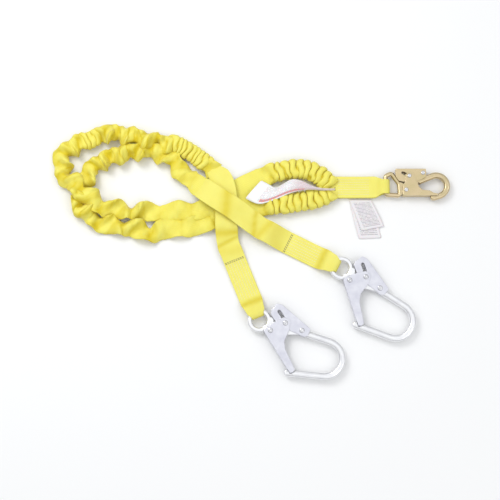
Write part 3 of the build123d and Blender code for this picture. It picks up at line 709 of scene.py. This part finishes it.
# ---------------------------------------------------------------- harness end
def build_harness():
    """The strap that both legs are sewn into: main length, loop round the snap hook's eye and back."""
    bar = joint_at("snap_hook_swing")
    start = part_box("harness_strap")[0][0] / MM
    heading = np.array([1.0, 0, 0])
    y = bar[1]
    points = [(start - 8, y, 12.5), (start + 4, y, 10.5), (start + 24, y, 8.4), (start + 62, y, 7.6),
              (bar[0] - 24, y, 9.5), (bar[0] - 9, y, bar[2] + 6.0), (bar[0], y, bar[2] + 7.0),
              (bar[0] + 6.5, y, bar[2] + 3.8), (bar[0] + 7.6, y, bar[2]), (bar[0] + 6.5, y, bar[2] - 3.8),
              (bar[0], y, bar[2] - 7.0), (bar[0] - 10, y, bar[2] - 6.4), (bar[0] - 26, y, 3.0),
              (start + 62, y, 2.2), (start + 24, y, 2.2), (start + 2, y, 3.4), (start - 6, y, 4.6)]
    run, centre = smooth_curve(points, 2.0)
    centre = blurred(centre, 1.2)
    square = np.cross(heading, [0, 0, 1.0])
    side = np.tile(square, (len(run), 1))
    narrow = eased((centre[:, 0] - (bar[0] - 24)) / 20)
    width = 45.0 * (1 - narrow) + 30.0 * narrow
    ease_in = eased((centre[:, 0] - (start - 8)) / 26)
    width = width * (0.86 + 0.14 * ease_in)
    band = webbing_band("harness_strap_webbing", centre, side, width, LAYER)
    middle = [(start + 2, y, 7.2), (start + 30, y, 5.2), (start + 66, y, 4.9), (bar[0] - 30, y, 6.2)]
    run_in, inner = smooth_curve(middle, 3.0)
    inner_side = np.tile(square, (len(run_in), 1))
    filler = webbing_band("harness_leg_ends", inner, inner_side, np.full(len(run_in), 43.0), LAYER * 1.1)
    _, along = stitch_lines(16, bar[0] - 30 - start, 43.0)
    base = np.array([start, y, 0])
    face = top_face(centre, base, heading)
    threads = stitches("harness_stitch_thread", base, heading, along, face, PALE_THREAD, size=0.8)
    tack = stitches("harness_tack_thread", base, heading, [((15, -9), (15, 1))], face, THREAD, size=1.2)
    for piece in (band, filler, threads, tack):
        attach(piece, "harness_end")
    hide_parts("harness_strap")
    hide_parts("harness_stitching")


# ---------------------------------------------------------------- label and tags
def sheet(name, rows, material, thick):
    """A thin sheet from rows of points, with a solidified thickness."""
    rings = np.array(rows, float)
    count, columns = rings.shape[:2]
    piece = grid_mesh(name, rings, np.linspace(0, 1, count), np.linspace(0, 1, columns), material,
                      closed=False)
    shell = piece.modifiers.new("Thickness", "SOLIDIFY")
    shell.thickness = thick * MM
    return piece


LABEL_ROWS = 48


def resampled(curve):
    """A curve with as many points as the label has rows."""
    steps = np.linspace(0, 1, LABEL_ROWS)
    return np.stack([np.interp(steps, np.linspace(0, 1, len(curve)), column) for column in curve.T], axis=1)


def build_label():
    """A printed strip sewn in at the harness end, lying along the fork between the two legs."""
    top = [(166, 132, 21), (140, 131, 29), (118, 136, 31), (98, 146, 30), (78, 150, 27), (58, 140, 24),
           (44, 134, 21), (30, 142, 18), (15, 150, 17)]
    low = [(166, 128, 20), (140, 126, 28), (118, 127, 30), (98, 126, 29), (76, 121, 27), (54, 112, 25),
           (32, 104, 22), (8, 100, 19), (-18, 112, 17)]
    _, upper = smooth_curve(top, 4.0)
    _, lower = smooth_curve(low, 4.0)
    rows = []
    for a, b in zip(resampled(lower), resampled(upper)):
        row = []
        for share in np.linspace(0, 1, 9):
            bow = 3.5 * math.sin(share * math.pi)
            row.append(a + (b - a) * share + np.array([0, 0, bow]))
        rows.append(row)
    label = sheet("warning_label_sheet", rows, LABEL, 0.6)
    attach(label, "harness_end")
    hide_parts("warning_label")


def build_tags():
    """Two printed pages sewn under the strap's edge, the front one lying askew over the back one."""
    pages = {"tag_back": ((196, 215, 262, 242), (113, 30, 32, 113), 1.0, 2.0),
             "tag_front": ((196, 221, 268, 242), (113, 47, 56, 113), 2.4, 3.4)}
    for name, (xs, ys, base, swell) in pages.items():
        rows = []
        for v in np.linspace(0, 1, 9):
            row = []
            for u in np.linspace(0, 1, 14):
                left = np.array([xs[0] + (xs[1] - xs[0]) * u, ys[0] + (ys[1] - ys[0]) * u])
                right = np.array([xs[3] + (xs[2] - xs[3]) * u, ys[3] + (ys[2] - ys[3]) * u])
                x, y = left + (right - left) * v
                z = base + swell * math.sin(u * math.pi) * (0.6 + 0.4 * math.cos(v * 4 + base)) + u * 0.6
                row.append((x, y, z))
            rows.append(row)
        page = sheet(f"{name}_page", rows, TAG, 0.35)
        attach(page, name)
        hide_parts(name)


# ---------------------------------------------------------------- floor, light and camera
SKY_LOW, SKY_HIGH = 0.05, 0.98
LAMPS = (("key", (-0.9, 1.0, 1.7), 0.9, 15.0), ("fill", (1.4, -0.9, 1.8), 1.8, 6.0))


def build_stage():
    bpy.ops.mesh.primitive_plane_add(size=12)
    floor = bpy.context.active_object
    floor.name = "stage_floor"
    material, n = new_material("floor_white")
    n.shade(Base_Color=(0.93, 0.93, 0.93), Roughness=0.9)
    floor.data.materials.append(material)

    world = bpy.data.worlds.new("studio")
    bpy.context.scene.world = world
    world.use_nodes = True
    tree = world.node_tree
    background = tree.nodes["Background"]
    background.inputs[0].default_value = (0.97, 0.985, 1.0, 1.0)
    place = tree.nodes.new("ShaderNodeTexCoord")
    parts = tree.nodes.new("ShaderNodeSeparateXYZ")
    tree.links.new(place.outputs["Generated"], parts.inputs[0])
    rise = tree.nodes.new("ShaderNodeMapRange")
    rise.inputs["From Min"].default_value = 0.0
    rise.inputs["From Max"].default_value = 0.75
    rise.inputs["To Min"].default_value = SKY_LOW
    rise.inputs["To Max"].default_value = SKY_HIGH
    tree.links.new(parts.outputs[2], rise.inputs[0])
    path = tree.nodes.new("ShaderNodeLightPath")
    seen = tree.nodes.new("ShaderNodeMix")
    tree.links.new(path.outputs["Is Camera Ray"], seen.inputs[0])
    tree.links.new(rise.outputs[0], seen.inputs[2])
    seen.inputs[3].default_value = 0.9
    tree.links.new(seen.outputs[0], background.inputs[1])

    for name, spot, size, power in LAMPS:
        data = bpy.data.lights.new(name, "AREA")
        data.size = size
        data.energy = power
        lamp = bpy.data.objects.new(name, data)
        lamp.location = spot
        lamp.rotation_euler = (-Vector(spot)).to_track_quat("-Z", "Y").to_euler()
        bpy.context.scene.collection.objects.link(lamp)


VIEW_AIM = (-0.008, 0.0075, 0.0)
VIEW_ELEVATION = 80.0
VIEW_SPAN = 1.025               # width of floor across the picture, in metres
VIEW_LENS = 85.0


def build_camera():
    data = bpy.data.cameras.new("camera")
    data.lens = VIEW_LENS
    data.sensor_width = 36.0
    camera = bpy.data.objects.new("camera", data)
    bpy.context.scene.collection.objects.link(camera)
    distance = VIEW_SPAN * VIEW_LENS / data.sensor_width
    tilt = math.radians(VIEW_ELEVATION)
    offset = Vector((0, -math.cos(tilt), math.sin(tilt))) * distance
    camera.location = Vector(VIEW_AIM) + offset
    camera.rotation_euler = (math.radians(90) - tilt, 0, 0)
    data.clip_end = 50
    bpy.context.scene.camera = camera
    bpy.context.scene.view_settings.view_transform = "Standard"


dress_nodes()
build_legs()
build_straps()
build_harness()
build_label()
build_tags()
build_stage()
build_camera()
